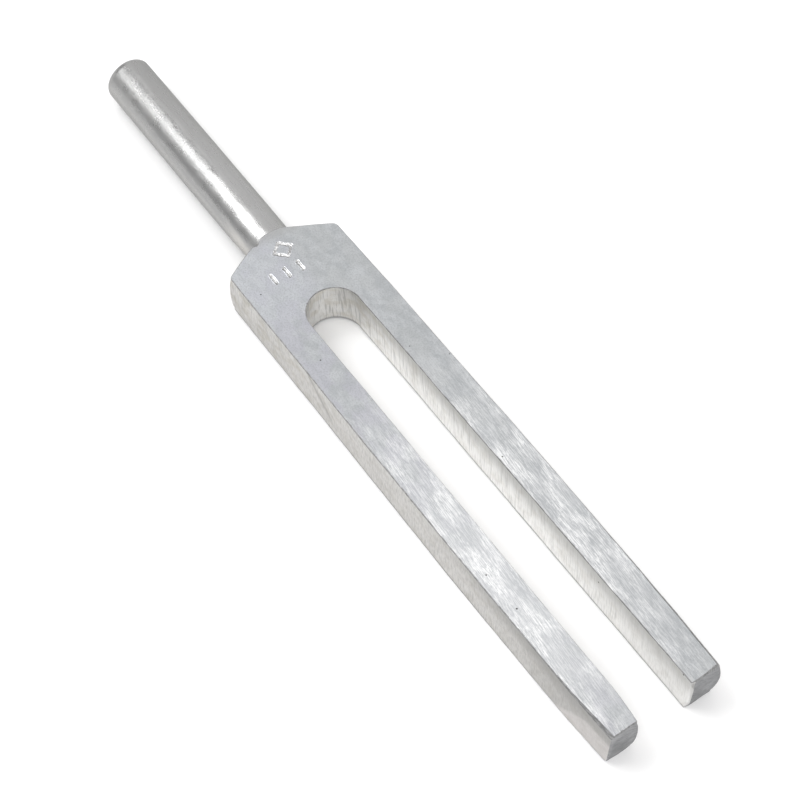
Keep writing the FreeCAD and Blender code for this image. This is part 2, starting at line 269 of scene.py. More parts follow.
def mark_relief(x, y):
    """Height of the punched marks: a rounded groove with a small burr thrown up beside it."""
    distance = mark_distance(x, y)
    depth = MARK_DEPTH * (1 + 0.25 * np.sin(x * 1.3 - y * 2.2))
    groove = 1 - smooth_step(distance, 0.04, MARK_WIDTH / 2 + 0.06)
    burr = np.exp(-((distance - MARK_WIDTH / 2 - 0.12) / 0.12) ** 2)
    return 0.035 * burr - depth * groove


def edge_fall(x, y):
    """How far the upper face has fallen away at its broken edges and at the left tine's bevel."""
    width, drop = outer_chamfer(x, y > 0)
    from_side = outer_half_width(x, y > 0, EDGE_HEIGHT) - np.abs(y)
    rounded = round_drop(inset(x, y, EDGE_HEIGHT), edge_radius(x, y))
    return np.maximum(rounded, bevel_drop(from_side, width, drop))


def top_height(x, y):
    """Height of the upper face over the fork's axis."""
    worn = 0.012 * np.sin(x / 7.1) * np.cos(y / 3.3) - 0.012
    return HALF_THICKNESS - edge_fall(x, y) + worn + mark_relief(x, y)


def underside_height(x, y):
    """Height of the lower face, with the filed inner corner at the left tine's tip."""
    within = inset(x, y, -EDGE_HEIGHT)
    from_slot = -y - slot_half_width(x, False, -EDGE_HEIGHT)
    grown = np.where(y < 0, np.exp((x - TIP_X) / 3.0), 0.0)
    bevel = bevel_drop(from_slot, 0.8 * grown, 1.2 * grown)
    sag = 0.12 + 0.18 * smooth_step(x, -20, TIP_X)
    return -HALF_THICKNESS - sag + np.maximum(round_drop(within, edge_radius(x, -y)), bevel)


# ---- the head's mesh ----

EDGE_STEPS = (0.0, 0.06, 0.2, 0.42, 0.7, 0.92, 1.08, 1.6)
TOP_ROWS_BETWEEN = 28
UNDERSIDE_ROWS_BETWEEN = 4
WALL_STEPS = (0.012, 0.035, 0.08, 0.15, 0.25, 0.37, 0.5, 0.63, 0.75, 0.85, 0.92, 0.965, 0.988)
COLUMNS_FROM_TIP = (0.36, 0.44, 0.55, 0.7, 0.9, 1.15, 1.5, 2.0, 2.7)
COLUMN_SPACING = 0.85
CROWN_STEP = 1.4
CORNER_STEP = 0.35
CORNER_FROM, CORNER_TO = 143.0, 150.0


def half_columns():
    """Where the right half of the U-shaped grid's columns start, and their angles, tip first.

    The columns lie closer together near the tip and round the corner between side and shoulder.
    """
    near_tip = TIP_X - np.array(COLUMNS_FROM_TIP)
    count = int((near_tip[-1] - SLOT_CENTRE_X) / COLUMN_SPACING)
    along = np.linspace(near_tip[-1], SLOT_CENTRE_X, count + 1)[1:]
    starts = np.concatenate([near_tip, along])
    around = np.radians(np.arange(90 + CROWN_STEP, 180.0, CROWN_STEP))
    corner = np.radians(np.arange(CORNER_FROM, CORNER_TO, CORNER_STEP))
    around = np.sort(np.concatenate([around[(around < corner[0]) | (around > corner[-1])], corner]))
    angles = np.concatenate([np.full(len(starts), math.pi / 2), around])
    starts = np.concatenate([starts, np.full(len(around), SLOT_CENTRE_X)])
    return starts, angles


def all_columns():
    """The whole U, from the right tine's tip round the crown to the left tine's tip."""
    starts, angles = half_columns()
    middle_start, middle_angle = [SLOT_CENTRE_X], [math.pi]
    starts = np.concatenate([starts, middle_start, starts[::-1]])
    angles = np.concatenate([angles, middle_angle, -angles[::-1]])
    start = np.column_stack([starts, np.zeros(len(starts))])
    direction = np.column_stack([np.cos(angles), np.sin(angles)])
    return start, direction


# Distances from a column's start: one always lies in the metal, the other beyond the outline.
METAL_DISTANCE = 8.2
BEYOND_OUTLINE = 27.0


def row_distances(start, direction, z, outer, inner, rows_between):
    """Distances along each column of its rows, from the outer outline to the slot."""
    outer_edge, inner_edge = (start + direction * d[:, None] for d in (outer, inner))
    probe = 0.3
    facing_out = inset(*(outer_edge - direction * probe).T, z) / probe
    facing_in = inset(*(inner_edge + direction * probe).T, z) / probe
    width, _ = outer_chamfer(outer_edge[:, 0], outer_edge[:, 1] > 0)
    outer_break = np.maximum(edge_radius(*outer_edge.T), width) / np.clip(facing_out, 0.4, 1)
    inner_break = edge_radius(*inner_edge.T) / np.clip(facing_in, 0.4, 1)
    steps = np.array(EDGE_STEPS)
    outer_rows = outer[:, None] - outer_break[:, None] * steps
    inner_rows = (inner[:, None] + inner_break[:, None] * steps)[:, ::-1]
    t = np.arange(1, rows_between + 1) / (rows_between + 1)
    between = outer_rows[:, -1:] + (inner_rows[:, :1] - outer_rows[:, -1:]) * t
    return np.hstack([outer_rows, between, inner_rows])


def tip_corner(y_sign, slot_side, z):
    """The middle of the rounded corner between a tip's end and its outer side or its slot side."""
    y_metal = (SLOT_RADIUS + HALF_WIDTH) / 2
    outward = -1 if slot_side else 1
    start = np.array([[TIP_X - 2.6, y_sign * y_metal]])
    direction = np.array([[1.0, y_sign * outward]]) / math.sqrt(2)
    reach = outline_distance(start, direction, z, 1.0, 6.0)
    return (start + direction * reach[:, None])[0]


def tip_end(y_sign, share, z):
    """Plan positions across a tip's end at one height, from its outer side to its slot side."""
    outer, slot = tip_corner(y_sign, False, z), tip_corner(y_sign, True, z)
    y = outer[1] + share * (slot[1] - outer[1])
    start = np.column_stack([np.full(len(y), TIP_X - 3.0), y])
    forward = np.array([[1.0, 0.0]])
    return start + forward * outline_distance(start, forward, z, 0.0, 4.0)[:, None]


def row_share(grid, column):
    """Each row's share of the way across a tine, for one column of a grid."""
    y = grid[column, :, 1]
    return (y - y[0]) / (y[-1] - y[0])


def plan_grid(start, direction, z, rows_between):
    """Plan positions of a cap's vertices, with the first and last column on the tips' ends."""
    outer = outline_distance(start, direction, z, METAL_DISTANCE, BEYOND_OUTLINE)
    inner = outline_distance(start, direction, z, METAL_DISTANCE, 0.0)
    distances = row_distances(start, direction, z, outer, inner, rows_between)
    grid = start[:, None, :] + direction[:, None, :] * distances[:, :, None]
    right_end = tip_end(1, row_share(grid, 0), z)
    left_end = tip_end(-1, row_share(grid, -1), z)
    columns_bent, fade_length = 12, 0.8
    for end, order in ((right_end, 1), (left_end, -1)):
        for column in range(len(grid))[::order][:columns_bent]:
            fade = math.exp((start[column, 0] - TIP_X) / fade_length)
            grid[column, :, 0] += (end[:, 0] - min(end[0, 0], end[-1, 0])) * fade
    return np.concatenate([right_end[None], grid, left_end[None]])


def wall_heights(low, high):
    """Heights of a wall's rows over each of its columns."""
    steps = np.array(WALL_STEPS)[:, None]
    return low + (high - low) * steps


def settled(heights):
    """1 where a wall's row has to meet the edge of a cap, and 0 over the rest of the wall."""
    return smooth_step(np.abs(heights), HALF_THICKNESS - 1.2, EDGE_HEIGHT)[..., None]


def wall_plan(under, under_z, top, top_z, row, start, direction, beyond):
    """Plan positions and heights of a wall below the outer outline (row 0) or the slot's (-1)."""
    heights = wall_heights(under_z[:, row], top_z[:, row])
    plan = np.empty(heights.shape + (2,))
    for level, z in enumerate(heights):
        reach = outline_distance(start, direction, z[1:-1], METAL_DISTANCE, beyond)
        plan[level, 1:-1] = start + direction * reach[:, None]
        plan[level, 0] = tip_corner(1, row == -1, z[0])
        plan[level, -1] = tip_corner(-1, row == -1, z[-1])
    cap = np.where((heights > 0)[..., None], top[:, row], under[:, row])
    return plan + (cap - plan) * settled(heights), heights


def tip_chip(y, z):
    """Depth of the chip out of the right tip's edge, beside the slot."""
    across, up = (y - SLOT_RADIUS - 0.4) / 0.35, (z - 0.6) / 1.0
    return 0.5 * np.exp(-across ** 2 - up ** 2)


def tip_plan(under, y_sign, share, low, high):
    """Plan positions and heights of the wall at a tip's end."""
    heights = wall_heights(low, high)
    plan = np.array([tip_end(y_sign, share, z) for z in heights])
    cap = np.where((heights > 0)[..., None], tip_end(y_sign, share, EDGE_HEIGHT), under)
    plan += (cap - plan) * settled(heights)
    if y_sign > 0:
        plan[..., 0] -= tip_chip(plan[..., 1], heights)
    return plan, heights


def add_grid(bm, plan, heights):
    """A grid of vertices at these plan positions and heights."""
    points = np.dstack([plan, heights]).reshape(-1, 3)
    made = [bm.verts.new(point) for point in points]
    return np.array(made, dtype=object).reshape(heights.shape)


def add_quads(bm, grid, material):
    """Faces between the neighbours in a grid of vertices."""
    for near, far in zip(grid, grid[1:]):
        for a, b, c, d in zip(near, far, far[1:], near[1:]):
            bm.faces.new([a, b, c, d]).material_index = material


def shared_rows(count):
    """Which of the upper face's rows, out of this many, stand over the lower face's rows."""
    edge_rows = len(EDGE_STEPS)
    per_row = (TOP_ROWS_BETWEEN + 1) // (UNDERSIDE_ROWS_BETWEEN + 1)
    between = [edge_rows - 1 + per_row * k for k in range(1, UNDERSIDE_ROWS_BETWEEN + 1)]
    return [*range(edge_rows), *between, *range(count - edge_rows, count)]


def close_tip(bm, painted_shade_under_edge, wall, top_edge, shared):
    """The faces of a tip's end. Its top row meets several of the upper face's rows at once."""
    add_quads(bm, np.vstack([painted_shade_under_edge[None], wall]), TIP)
    for k, (a, b) in enumerate(zip(shared, shared[1:])):
        rim = list(top_edge[a:b + 1])
        bm.faces.new([wall[-1, k + 1], wall[-1, k]] + rim).material_index = TIP


def build_head(materials):
    """The head: an upper and a lower face on a U-shaped grid, and the walls between them."""
    start, direction = all_columns()
    top = plan_grid(start, direction, EDGE_HEIGHT, TOP_ROWS_BETWEEN)
    under = plan_grid(start, direction, -EDGE_HEIGHT, UNDERSIDE_ROWS_BETWEEN)
    top_z = top_height(top[..., 0], top[..., 1])
    under_z = underside_height(under[..., 0], under[..., 1])
    bm = bmesh.new()
    top_grid = add_grid(bm, top, top_z)
    under_grid = add_grid(bm, under, under_z)
    add_quads(bm, top_grid, TOP)
    add_quads(bm, under_grid, UNDERSIDE)

    walls = {}
    for row, beyond, material in ((0, BEYOND_OUTLINE, SIDE), (-1, 0.0, SLOT)):
        plan = wall_plan(under, under_z, top, top_z, row, start, direction, beyond)
        walls[row] = add_grid(bm, *plan)
        levels = [under_grid[:, row][None], walls[row], top_grid[:, row][None]]
        add_quads(bm, np.vstack(levels), material)

    shared = shared_rows(top.shape[1])
    inner = slice(1, -1)
    for column, y_sign in ((0, 1), (-1, -1)):
        share = row_share(under, column)[inner]
        low, high = under_z[column, inner], top_z[column][shared[inner]]
        end = add_grid(bm, *tip_plan(under[column, inner], y_sign, share, low, high))
        wall = np.hstack([walls[0][:, column][:, None], end, walls[-1][:, column][:, None]])
        close_tip(bm, under_grid[column], wall, top_grid[column], shared)

    refine_marks(bm)
    sort_top_faces(bm)
    return finish_piece("fork_head", bm, materials, "fork_body")


def sort_top_faces(bm):
    """Give struck marks their own finish, and broken edges and a painted shadow beside each mark
    the finish of painted shade.
    """
    faces = [face for face in bm.faces if face.material_index == TOP]
    x, y, _ = np.array([face.calc_center_median() for face in faces]).T
    outward = np.where(y < 0, 0.07, 0.0)
    least_fall, tip_edge = 0.002, 0.25
    # Painted shade: broken edges, the left tine's bevel and the tips' upper edges get the dark edge
    # finish, which hides their highlight.
    worn = (edge_fall(x, y - outward) > least_fall) | (x > TIP_X - tip_edge)
    struck = mark_distance(x, y) < MARK_WIDTH / 2 + 0.04
    # Painted shadow: a dark strip beside each stroke, on its +X and -Y side.
    shadow_x, shadow_y = 0.14, -0.2
    beside = mark_distance(x - shadow_x, y - shadow_y) < MARK_WIDTH / 2
    for face, is_shaded_edge, is_struck, in_mark_shadow in zip(faces, worn, struck, beside):
        if is_struck:
            face.material_index = STRUCK
        elif is_shaded_edge or in_mark_shadow:
            face.material_index = SHADED_EDGE
    for edge in bm.edges:
        if {face.material_index for face in edge.link_faces} == {TOP, SHADED_EDGE}:
            edge.smooth = False


def refine_marks(bm):
    """Divide the upper face finely around the marks, and give the new vertices their height."""
    def around_marks(vertex):
        x, y, z = vertex.co
        on_top = z > HALF_THICKNESS - 0.6
        return on_top and MARKED_X[0] < x < MARKED_X[1] and MARKED_Y[0] < y < MARKED_Y[1]

    edges = [edge for edge in bm.edges if all(around_marks(v) for v in edge.verts)]
    bmesh.ops.subdivide_edges(bm, edges=edges, cuts=3, use_grid_fill=True)
    marked = [vertex for vertex in bm.verts if around_marks(vertex)]
    place = np.array([vertex.co for vertex in marked])
    for vertex, height in zip(marked, top_height(place[:, 0], place[:, 1])):
        vertex.co.z = height


# ---- the stem ----

SEGMENTS = 168
RINGS = 150


def foot_profile():
    """Station and radius from the middle of the crowned foot, round its edge, to the rod's side."""
    crown, edge, radius = FOOT_CROWN_RADIUS, FOOT_EDGE_RADIUS, FOOT_RADIUS
    edge_x = crown - math.sqrt((crown - edge) ** 2 - (radius - edge) ** 2)
    tilt = math.atan2(radius - edge, crown - edge_x)
    crown_angles = np.linspace(0.02, tilt, 14)
    edge_angles = np.linspace(tilt, math.pi / 2, 16)[1:]
    crown_x, crown_r = crown - crown * np.cos(crown_angles), crown * np.sin(crown_angles)
    rounded_x = edge_x - edge * np.cos(edge_angles)
    rounded_r = radius - edge + edge * np.sin(edge_angles)
    return np.concatenate([crown_x, rounded_x]), np.concatenate([crown_r, rounded_r])


def stem_rings():
    """The rod's surface as x, y and z, each with a row per ring from the foot to the head.

    The rod swells a little towards its foot, and its upper side is filed down where it meets the
    head. It is dented all over, and its foot is sawn slightly askew.
    """
    foot_x, foot_r = foot_profile()
    end_x = SEAT_X + 0.5
    length = end_x - FOOT_X
    along = np.linspace(foot_x[-1], length, RINGS)[1:]
    station = np.concatenate([foot_x, along])
    radius = np.concatenate([foot_r, np.full(len(along), foot_r[-1])])
    swell = 1.012 - 0.015 * smooth_step(station, 25.0, length)
    radius = radius * swell
    angle = np.arange(SEGMENTS) * 2 * math.pi / SEGMENTS

    x = FOOT_X + np.repeat(station[:, None], SEGMENTS, axis=1)
    necked = smooth_step(x, SEAT_X - 9.0, SEAT_X - 0.7)
    upper = smooth_step(np.sin(angle - math.radians(35)), -0.5, 1.0)
    body = radius[:, None] * (1 - 0.085 * necked * upper)
    points = np.stack([x, body * np.cos(angle), body * np.sin(angle)], axis=-1)
    stretched = points.reshape(-1, 3) * np.array([0.35, 1, 1])
    dents = wave_noise(stretched, 2.3, 1) * 0.012 + wave_noise(stretched, 0.75, 2) * 0.006 - 0.016
    body = body + dents.reshape(body.shape) * smooth_step(station, 0.2, 1.5)[:, None]
    off_centre_y, off_centre_z = 0.1, 0.04
    y, z = body * np.cos(angle) + off_centre_y, body * np.sin(angle) + off_centre_z
    filed_top = STEM_RADIUS + 2 - 2.4 * smooth_step(x, SEAT_X - 5.5, SEAT_X - 0.3)
    z = np.clip(z, -STEM_RADIUS, filed_top)
    sawn = 0.55 * (1 - y / STEM_RADIUS) + 1.0 * np.clip(z / STEM_RADIUS + 0.2, 0, 1)
    return x + sawn * (1 - smooth_step(x, FOOT_X + 0.5, FOOT_X + 9)), y, z


def build_stem(materials):
    """The stem: rings of quads, closed by a fan at each end."""
    bm = bmesh.new()
    rings = [[bm.verts.new(p) for p in zip(*ring)] for ring in zip(*stem_rings())]
    for near, far in zip(rings, rings[1:]):
        for k in range(SEGMENTS):
            following = (k + 1) % SEGMENTS
            bm.faces.new([near[k], near[following], far[following], far[k]])
    for ring in (rings[0], rings[-1]):
        centre = bm.verts.new(sum((v.co for v in ring), Vector()) / SEGMENTS)
        for k in range(SEGMENTS):
            bm.faces.new([centre, ring[k], ring[(k + 1) % SEGMENTS]])
    return finish_piece("stem_rod", bm, materials, "stem")


# ---- materials ----

def dimmed(colour, factor):
    """A colour at this share of its brightness."""
    return tuple(channel * factor for channel in colour)


class Shader:
    """A node-built metal: a Principled shader and short calls for what feeds it."""

    def __init__(self, name, colour, roughness):
        self.material = bpy.data.materials.new(name)
        self.material.use_nodes = True
        self.nodes = self.material.node_tree.nodes
        self.links = self.material.node_tree.links
        self.surface = self.nodes["Principled BSDF"]
        self.surface.inputs["Base Color"].default_value = (*colour, 1)
        self.surface.inputs["Metallic"].default_value = 1.0
        self.surface.inputs["Specular Tint"].default_value = (0.62, 0.62, 0.62, 1)
        self.surface.inputs["Roughness"].default_value = roughness
        self.place = self.nodes.new("ShaderNodeTexCoord").outputs["Object"]

    def put(self, target, value):
        if isinstance(value, bpy.types.NodeSocket):
            self.links.new(value, target)
        else:
            target.default_value = value

    def stretched(self, size, turn=(0, 0, 0)):
        """The position divided by a size in millimetres on each axis, after a turn in degrees."""
        turned = self.nodes.new("ShaderNodeMapping")
        turned.inputs["Rotation"].default_value = [math.radians(a) for a in turn]
        self.put(turned.inputs["Vector"], self.place)
        scaled = self.nodes.new("ShaderNodeMapping")
        scaled.inputs["Scale"].default_value = [1 / (s * MM) for s in size]
        self.put(scaled.inputs["Vector"], turned.outputs["Vector"])
        return scaled.outputs["Vector"]

    def noise(self, size, detail=2.0, roughness=0.5, turn=(0, 0, 0)):
        texture = self.nodes.new("ShaderNodeTexNoise")
        texture.inputs["Scale"].default_value = 1.0
        texture.inputs["Detail"].default_value = detail
        texture.inputs["Roughness"].default_value = roughness
        self.put(texture.inputs["Vector"], self.stretched(size, turn))
        return texture.outputs["Fac"]

    def specks(self, size, threshold):
        """1 in a small spot here and there, 0 elsewhere."""
        texture = self.nodes.new("ShaderNodeTexVoronoi")
        texture.inputs["Scale"].default_value = 1.0
        self.put(texture.inputs["Vector"], self.stretched((size, size, size)))
        return self.ramp(texture.outputs["Distance"], threshold, threshold * 0.5)

    def ramp(self, value, low, high, start=0.0, end=1.0):
        """The value's range from low to high spread over start to end, and held beyond it."""
        node = self.nodes.new("ShaderNodeMapRange")
        node.interpolation_type = "SMOOTHSTEP"
        settings = {"From Min": low, "From Max": high, "To Min": start, "To Max": end}
        if low > high:
            settings = {"From Min": high, "From Max": low, "To Min": end, "To Max": start}
        for name, number in settings.items():
            node.inputs[name].default_value = number
        self.put(node.inputs["Value"], value)
        return node.outputs["Result"]

    def maths(self, operation, a, b):
        node = self.nodes.new("ShaderNodeMath")
        node.operation = operation
        self.put(node.inputs[0], a)
        self.put(node.inputs[1], b)
        return node.outputs["Value"]

    def product(self, *values):
        """All the values multiplied together."""
        result = values[0]
        for value in values[1:]:
            result = self.maths("MULTIPLY", result, value)
        return result

    def less(self, share, amount=1.0):
        """1, less this much of a share."""
        return self.maths("SUBTRACT", 1.0, self.product(share, amount))

    def mix(self, share, a, b):
        """Colour a where share is 0 and colour b where it is 1."""
        node = self.nodes.new("ShaderNodeMix")
        node.data_type = "RGBA"
        self.put(node.inputs["Factor"], share)
        for socket, colour in ((node.inputs[6], a), (node.inputs[7], b)):
            self.put(socket, (*colour, 1) if isinstance(colour, tuple) else colour)
        return node.outputs[2]

    def axis(self, name):
        node = self.nodes.new("ShaderNodeSeparateXYZ")
        self.put(node.inputs["Vector"], self.place)
        return node.outputs[name]

    def along(self, axis, low, high):
        """0 before low and 1 beyond high, in millimetres along one axis."""
        return self.ramp(self.axis(axis), low * MM, high * MM)

    def bump(self, height, depth, below=None, strength=1.0):
        """Relief of this depth in millimetres, laid over any relief below it."""
        node = self.nodes.new("ShaderNodeBump")
        node.inputs["Distance"].default_value = depth * MM
        self.put(node.inputs["Strength"], strength)
        self.put(node.inputs["Height"], height)
        if below is not None:
            self.put(node.inputs["Normal"], below)
        return node.outputs["Normal"]

    def finish(self, colour=None, roughness=None, normal=None):
        for name, value in (("Base Color", colour), ("Roughness", roughness), ("Normal", normal)):
            if value is not None:
                self.put(self.surface.inputs[name], value)
        return self.material


def painted_ground_shine(s, left, fine, dashes):
    """How far each spot of the ground faces shines, as painted highlight: the brushed streaks,
    flecks and haze along the tines drawn bright in place of their glints, brighter on the left tine
    and less at the tips.
    """
    coarse = s.noise((4.5, 0.26, 1.0), 2.0, 0.5, turn=(0, 0, 3))
    patches = s.noise((7.0, 2.6, 3.0), 3.0, 0.6)
    speckle = s.noise((0.8, 0.3, 0.3), 3.0, 0.7, turn=(0, 0, 8))
    streaks = s.product(s.ramp(fine, 0.45, 0.55), s.ramp(coarse, 0.38, 0.56))
    flecks = s.ramp(dashes, 0.545, 0.585)
    shine = s.maths("MAXIMUM", streaks, flecks)
    shine = s.product(shine, s.ramp(patches, 0.38, 0.6, 0.45, 0.75))
    haze = s.product(s.ramp(patches, 0.45, 0.62), s.ramp(speckle, 0.36, 0.6, 0.12, 0.42))
    shine = s.maths("ADD", shine, haze)
    # Painted highlight: the left tine's outer part drawn brighter.
    painted_left_highlight = s.product(
        s.along("X", 32.0, 60.0), s.along("X", 86.0, 76.0), s.along("Y", -7.0, -9.5),
        s.ramp(speckle, 0.36, 0.58, 0.0, 0.22))
    shine = s.maths("ADD", shine, painted_left_highlight)

    # Where the painted highlight reaches: none by the yoke, and less at the left and right tips.
    left_tip_less_shine = s.product(s.along("X", 72.0, 84.0), s.along("Y", -9.5, -6.5), left)
    right_tip_less_shine = s.product(s.along("X", 62.0, 78.0), s.along("Y", -3.0, 3.0))
    reach = s.product(s.along("X", 4.0, 36.0), s.along("X", 102.0, 78.0), 0.71)
    return s.product(shine, s.less(left_tip_less_shine, 0.6), s.less(right_tip_less_shine, 0.35), reach)


def ground_tint(s, left, brushed, grain, cloud):
    """The ground faces' grey: cloudy at the yoke, duller by the stem, even where brushed, with
    painted highlight on the left half.
    """
    grey = s.mix(s.ramp(cloud, 0.35, 0.65), (0.45, 0.468, 0.482), (0.55, 0.567, 0.582))
    hue = s.ramp(s.noise((4.5, 3.0, 3.0), 2.0), 0.4, 0.6)
    tinge = s.mix(left, (0.49, 0.505, 0.51), (0.495, 0.49, 0.55))
    grey = s.mix(s.product(hue, 0.5), grey, tinge)
    # Painted highlight: the yoke's left half drawn lighter.
    painted_lighting_patch = s.product(left, s.along("X", -6.0, -16.0), 0.4)
    grey = s.mix(painted_lighting_patch, grey, (0.60, 0.62, 0.66))
    by_stem = s.product(s.along("X", -27.0, -30.0), 0.7)
    grey = s.mix(by_stem, grey, (0.44, 0.44, 0.435))
    pitted = s.product(s.ramp(grain, 0.42, 0.68), 0.45)
    grey = s.mix(pitted, grey, (0.34, 0.35, 0.36))
    # Painted highlight: the brushed grey drawn lighter on the left tine than on the right.
    even_grey = s.mix(left, (0.49, 0.505, 0.52), (0.59, 0.605, 0.62))
    return s.mix(s.product(brushed, 0.8), grey, even_grey)


def ground_face(name):
    """The upper and lower faces: cloudy and matt at the yoke, brushed along the tines, where
    painted highlight makes them bright.
    """
    s = Shader(name, (0.46, 0.47, 0.475), 0.4)
    brushed = s.product(s.along("X", 12.0, 52.0), s.along("X", 92.0, 70.0))
    left = s.along("Y", 3.0, -3.0)
    fine = s.noise((3.4, 0.13, 0.5), 3.0, 0.65, turn=(0, 0, 3))
    dashes = s.noise((2.0, 0.2, 0.6), 2.0, 0.6, turn=(0, 0, 4))
    grain = s.noise((0.35, 0.3, 0.3), 2.0, 0.6)
    cloud = s.noise((2.6, 1.8, 1.8), 4.0, 0.6)

    shine = painted_ground_shine(s, left, fine, dashes)
    colour = s.mix(shine, ground_tint(s, left, brushed, grain, cloud), (0.99, 0.99, 0.99))
    colour = s.mix(s.specks(4.0, 0.055), colour, (0.1, 0.1, 0.1))
    roughness = s.ramp(s.maths("ADD", shine, s.product(cloud, 0.3)), 0.0, 1.2, 0.3, 0.44)
    matt = s.bump(grain, 0.02, strength=s.less(brushed, 0.7))
    lines = s.bump(fine, 0.015, matt, strength=s.product(brushed, 0.8))
    scratched = s.bump(dashes, 0.02, lines, strength=s.product(brushed, 0.8))
    return s.finish(colour, roughness, scratched)


def scored(s, colour, base, depth):
    """Deep upright file strokes, most by the yoke and fewest at the tips."""
    strokes = s.noise((0.34, 0.34, 7.0), 2.0, 0.5, (0, 5, 0))
    by_yoke = s.ramp(s.axis("X"), -14.0 * MM, 3.0 * MM, depth, 0.55 * depth)
    by_tip = s.ramp(s.axis("X"), 40.0 * MM, 75.0 * MM, 1.0, 0.5)
    return s.mix(s.product(s.ramp(strokes, 0.46, 0.36), s.product(by_yoke, by_tip)), colour,
                 dimmed(base, 0.45))


def painted_slanting_shade(s, colour, base):
    """Painted shade: a dark line slanting down the side just past the yoke."""
    slope = 0.8
    slant = s.maths("ADD", s.product(s.axis("X"), slope), s.axis("Z"))
    line = s.product(s.ramp(slant, 9.6 * MM, 10.6 * MM), s.ramp(slant, 12.0 * MM, 10.7 * MM))
    reach = s.product(s.along("X", 0.5, 2.5), s.along("X", 11.0, 7.5))
    return s.mix(s.product(line, reach, 0.55), colour, dimmed(base, 0.45))


def painted_tip_facet(s, colour, base):
    """A lighter, warm patch of painted reflection for a second filed facet, low on a tine's side at
    its tip, with painted shade on the wall over it.
    """
    slope, from_x = 0.8, 75.0
    past_line = s.maths("SUBTRACT", s.product(s.axis("X"), slope), s.axis("Z"))
    edge = slope * from_x * MM
    facet = s.product(s.ramp(past_line, edge - 0.6 * MM, edge + 0.6 * MM), s.along("Z", 6.6, 5.4))
    # Painted shade on the wall near the tip, outside the facet.
    above = s.product(s.along("X", 62.0, 78.0), s.less(facet))
    colour = s.mix(s.product(above, 0.22), colour, dimmed(base, 0.5))
    return s.mix(s.product(facet, 0.62), colour, (0.80, 0.765, 0.755))


def filed_face(name, base, line_size, contrast, tarnish, edge_shade, shade_from_x, yoke_shade,
               score_depth, painted_facets=False):
    """A filed or sawn wall: fine lines across it, with painted shade by the yoke and under its
    upper edge, and a painted shadow line along its foot.
    """
    s = Shader(name, base, 0.5)
    lines = s.noise(line_size, 3.0, 0.65, (0, 6, 0))
    blotch = s.noise((3.0, 3.0, 2.0), 3.0, 0.6)
    colour = s.mix(s.ramp(lines, 0.36, 0.58), dimmed(base, 1 - contrast), base)
    colour = scored(s, colour, base, score_depth)
    # Painted shade: the upper part of the wall drawn darker, from shade_from_x towards the tips.
    reached = s.along("X", shade_from_x, shade_from_x + 45.0)
    painted_shade_under_edge = s.product(s.along("Z", 4.0, 9.4), reached, edge_shade)
    colour = s.mix(painted_shade_under_edge, colour, dimmed(base, 0.5))
    # Painted shade by the yoke, deepest at the crown, as much as yoke_shade.
    by_yoke = s.product(s.along("X", 2.0, -15.0), yoke_shade)
    colour = s.mix(by_yoke, colour, dimmed(base, 0.6))
    # Painted light on the side: the tip facet's reflection and the slanting shade past the yoke.
    if painted_facets:
        colour = painted_slanting_shade(s, painted_tip_facet(s, colour, base), base)
    # Painted shadow: a dark line along the bottom of the wall.
    painted_shadow_line = s.product(s.along("Z", 0.95, 0.3), 0.85)
    colour = s.mix(painted_shadow_line, colour, dimmed(base, 0.3))
    near_yoke = s.ramp(s.axis("X"), -18.0 * MM, 22.0 * MM, 1.0, 0.35)
    stain = s.product(s.ramp(blotch, 0.42, 0.68), s.product(near_yoke, 0.5))
    colour = s.mix(stain, colour, tarnish)
    near_tip = s.product(s.along("X", 45.0, 92.0), 0.38)
    colour = s.mix(near_tip, colour, dimmed(base, 0.6))
    colour = s.mix(s.specks(6.0, 0.035), colour, (0.05, 0.05, 0.05))
    normal = s.bump(lines, 0.03, s.bump(blotch, 0.05))
    return s.finish(colour, s.ramp(blotch, 0.3, 0.7, 0.42, 0.58), normal)


def plain_face(name, dark, light, roughness):
    """A small struck surface or a strip of painted shade, finely mottled."""
    s = Shader(name, light, roughness)
    mottle = s.noise((0.9, 0.3, 0.3), 3.0, 0.65)
    return s.finish(s.mix(s.ramp(mottle, 0.35, 0.65), dark, light), None, s.bump(mottle, 0.02))


def tip_face(name):
    """The filed end of a tine, darker than the rest."""
    s = Shader(name, (0.4, 0.4, 0.41), 0.5)
    lines = s.noise((1.0, 2.2, 0.12), 3.0, 0.6, turn=(25, 0, 0))
    cloud = s.noise((1.4, 1.4, 1.4), 3.0, 0.6)
    colour = s.mix(s.ramp(lines, 0.35, 0.7), (0.24, 0.245, 0.25), (0.385, 0.385, 0.395))
    colour = s.mix(s.product(s.ramp(cloud, 0.4, 0.7), 0.5), colour, (0.5, 0.5, 0.51))
    return s.finish(colour, s.ramp(cloud, 0.3, 0.7, 0.42, 0.6), s.bump(lines, 0.04))


